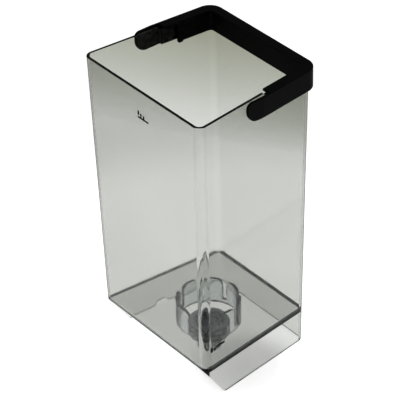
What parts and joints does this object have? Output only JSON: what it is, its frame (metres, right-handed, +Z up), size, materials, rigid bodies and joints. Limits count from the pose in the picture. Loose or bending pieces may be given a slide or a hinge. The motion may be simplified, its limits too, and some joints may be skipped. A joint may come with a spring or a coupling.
{
  "type": "water tank",
  "caption": "Tapered open-topped clear water tank with a folding U-shaped handle, a slotted cartridge collar and a strainer over a sprung outlet valve.",
  "frame": {"origin": "on the surface the skirt stands on, under the middle of the object with its handle folded down", "axes": "+Z up, +X along the wide front wall, +Y from the front wall to the back wall, over which the handle lies"},
  "size_m": [0.1256, 0.1126, 0.2434],
  "materials": {
    "clear_tank": "gloss",
    "clear_collar": "gloss",
    "black_handle": "satin",
    "grey_strainer": "satin",
    "mesh": "matt",
    "valve_plastic": "satin",
    "rubber": "matt pale silicone",
    "spring_steel": "drawn wire"
  },
  "bodies": {
    "tank": {"tank_body": "clear_tank", "cartridge_collar": "clear_collar", "strainer_basket": "grey_strainer", "strainer_mesh": "mesh", "spigot_o_ring": "rubber", "valve_spring": "spring_steel"},
    "handle": {"handle": "black_handle"},
    "valve": {"valve_plunger": "valve_plastic", "plunger_seal": "rubber"}
  },
  "joints": [
    {"name": "handle_swing", "type": "hinge", "parent": "tank", "child": "handle", "pos_m": [0, -0.0023, 0.2353], "axis": [1, 0, 0], "range_deg": [0, 100]},
    {"name": "valve_lift", "type": "slide", "parent": "tank", "child": "valve", "axis": [0, 0, 1], "range_m": [0, 0.003], "stiffness_N_per_m": 150, "springref_m": -0.002, "deforming": ["valve_spring"]}
  ]
}
